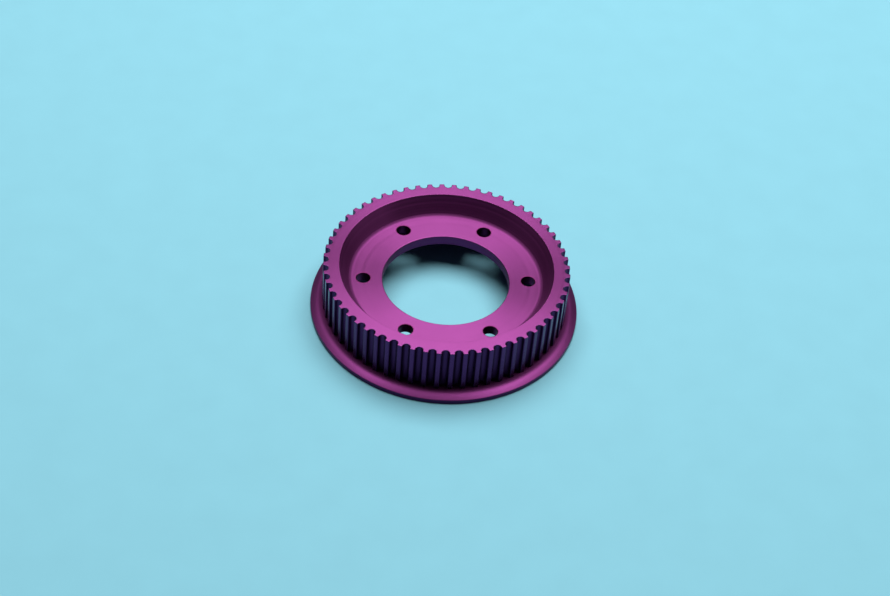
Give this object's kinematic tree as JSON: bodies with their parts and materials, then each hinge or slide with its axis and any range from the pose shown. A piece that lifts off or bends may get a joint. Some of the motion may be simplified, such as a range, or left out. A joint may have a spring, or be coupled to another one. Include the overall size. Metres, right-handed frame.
{
  "type": "timing belt pulley",
  "caption": "Dished timing belt pulley with round-bottomed teeth, a belt flange ring on its underside, and a thin web with a wide bore and a circle of bolt holes.",
  "frame": {"origin": "on the pulley's axis, at the plane of the flange ring's underside, which the pulley stands on", "axes": "+Z along the axis, out of the dished side; +X through the centre of one bolt hole"},
  "size_m": [0.062, 0.062, 0.013],
  "materials": {
    "anodised_body": "fine turned, satin magenta anodised",
    "anodised_flange": "fine turned, satin magenta anodised"
  },
  "bodies": {
    "root": {"toothed_body": "anodised_body", "belt_flange": "anodised_flange"}
  },
  "joints": []
}
